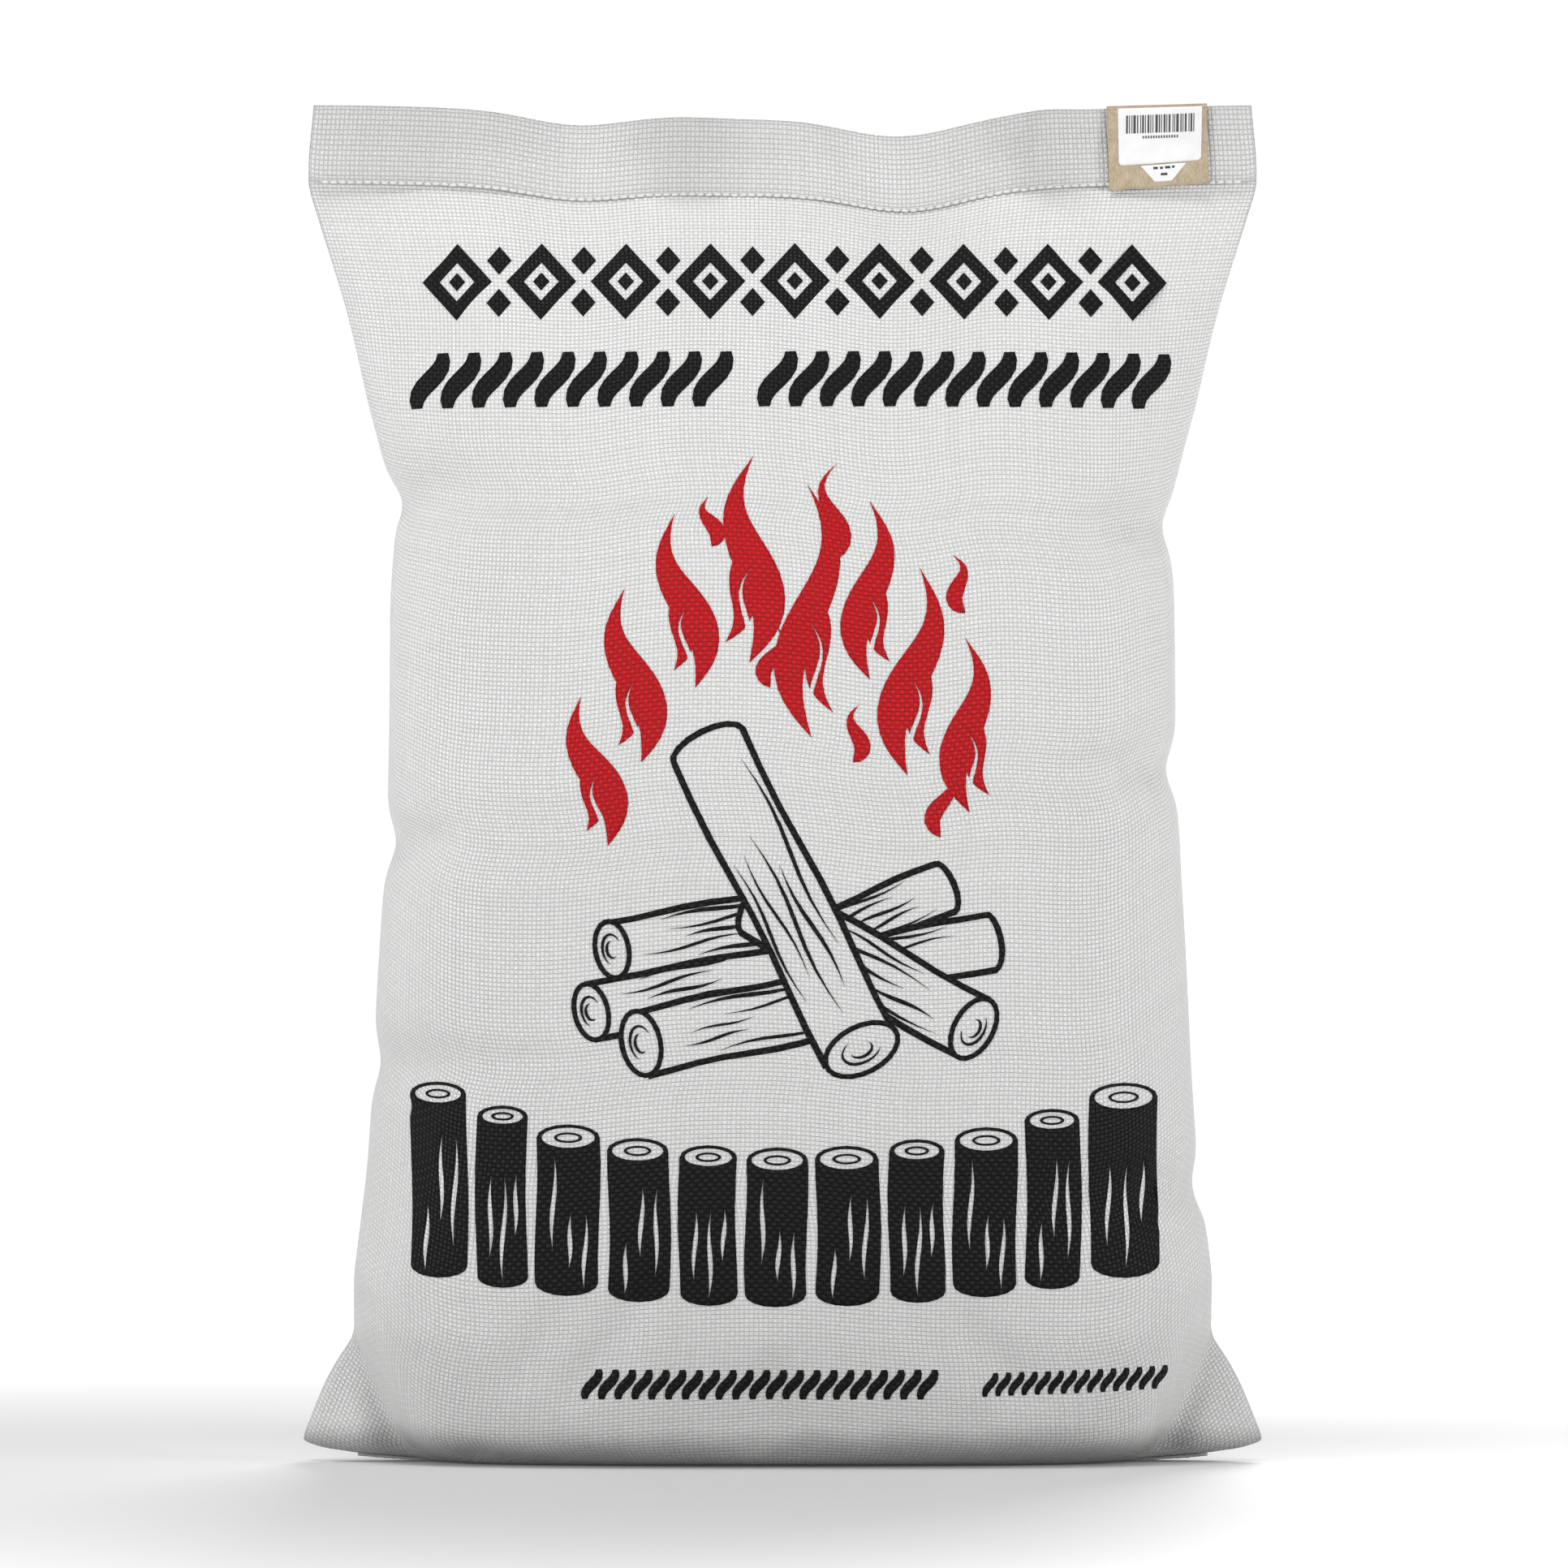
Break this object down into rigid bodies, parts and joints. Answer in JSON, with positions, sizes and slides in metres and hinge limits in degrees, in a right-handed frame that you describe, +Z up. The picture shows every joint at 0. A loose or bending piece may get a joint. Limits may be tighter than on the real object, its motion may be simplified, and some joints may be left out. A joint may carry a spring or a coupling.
{
  "type": "filled woven sack",
  "caption": "Filled woven sack standing upright, its mouth folded over and chain stitched flat, with pointed bottom corners and a folded card tag with stuck labels on the hem.",
  "frame": {"origin": "the middle of the outline box's bottom face, on the surface that the sack stands on", "axes": "+Z up the height of the sack to its hem, X across its width with the tag at +X, and the printed front facing -Y"},
  "size_m": [0.466, 0.1662, 0.6526],
  "materials": {
    "sack_cloth": "woven tape, low sheen",
    "closing_thread": "twisted, matt",
    "kraft_card": "matt, fibrous",
    "label_paper": "smooth, satin"
  },
  "bodies": {
    "root": {"sack_body": "sack_cloth", "top_needle_thread": "closing_thread", "top_looper_thread": "closing_thread", "foot_needle_thread": "closing_thread", "foot_looper_thread": "closing_thread", "kraft_tag": "kraft_card", "barcode_label": "label_paper", "keystone_label": "label_paper"}
  },
  "joints": []
}
